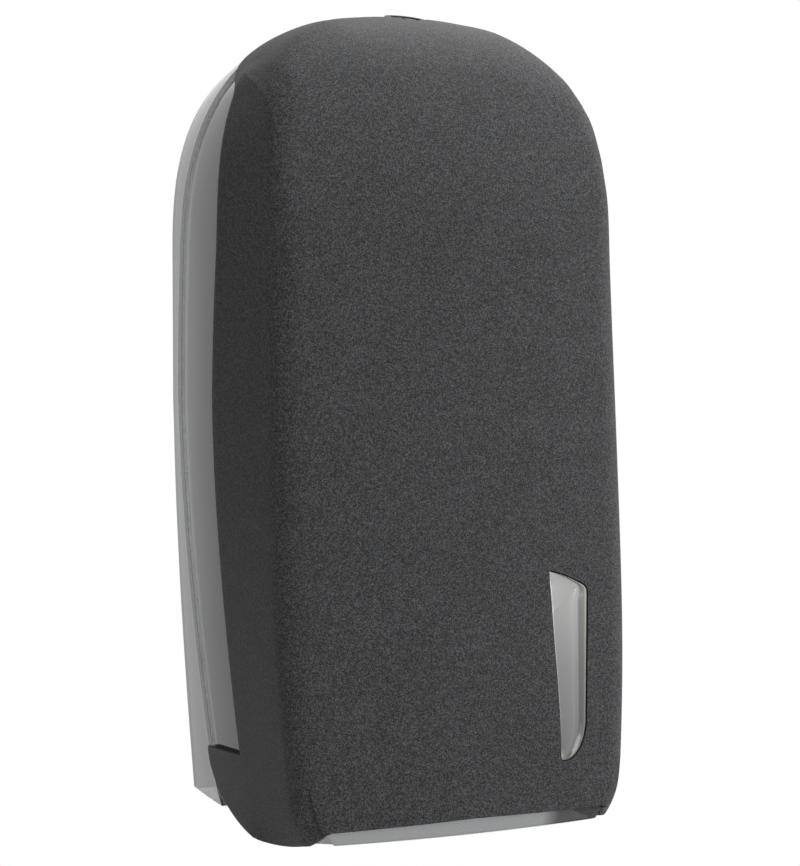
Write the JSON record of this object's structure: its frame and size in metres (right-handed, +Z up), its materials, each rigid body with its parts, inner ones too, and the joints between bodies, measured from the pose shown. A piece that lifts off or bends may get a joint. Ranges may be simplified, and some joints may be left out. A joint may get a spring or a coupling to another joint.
{
  "type": "toilet tissue dispenser",
  "caption": "Wall-mounted bulk pack toilet tissue dispenser: smoke clear case with a dark grained cover, keyed top lock, level window and open throat below",
  "frame": {"origin": "middle of the four wall screw holes, on the wall plane", "axes": "+Y into the wall, -Y towards the user, +X to the user's right, +Z up"},
  "size_m": [0.156, 0.1212, 0.3071],
  "materials": {
    "clear_smoke": "glossy",
    "dark_grain": "matte",
    "window_grey": "satin",
    "guide_grey": "satin",
    "steel": "satin",
    "black": "matte"
  },
  "bodies": {
    "wall_side": {"back_frame": "clear_smoke", "throat_plate": "clear_smoke", "throat_screws": "steel", "tissue_guide_left": "guide_grey", "tissue_guide_right": "guide_grey", "guide_screws": "steel", "lock_keeper": "steel", "keeper_rivets": "steel", "hinge_pin_left": "steel", "hinge_pin_right": "steel"},
    "door": {"door_shell": "clear_smoke", "front_cover": "dark_grain", "level_window": "window_grey", "cover_clip_left": "guide_grey", "cover_clip_right": "guide_grey", "cover_screws": "steel", "hinge_bush_left": "black", "hinge_bush_right": "black", "lock_collar": "steel", "collar_nut": "steel"},
    "lock": {"lock_barrel": "black", "lock_cam": "steel", "cam_washer": "steel", "cam_screw": "steel"}
  },
  "joints": [
    {"name": "door_hinge", "type": "hinge", "parent": "wall_side", "child": "door", "pos_m": [0, -0.072, -0.125], "axis": [1, 0, 0], "range_deg": [0, 80]},
    {"name": "lock_turn", "type": "hinge", "parent": "door", "child": "lock", "pos_m": [0, -0.06, 0.1474], "axis": [0, -0.275, 0.9615], "range_deg": [0, 90]}
  ]
}
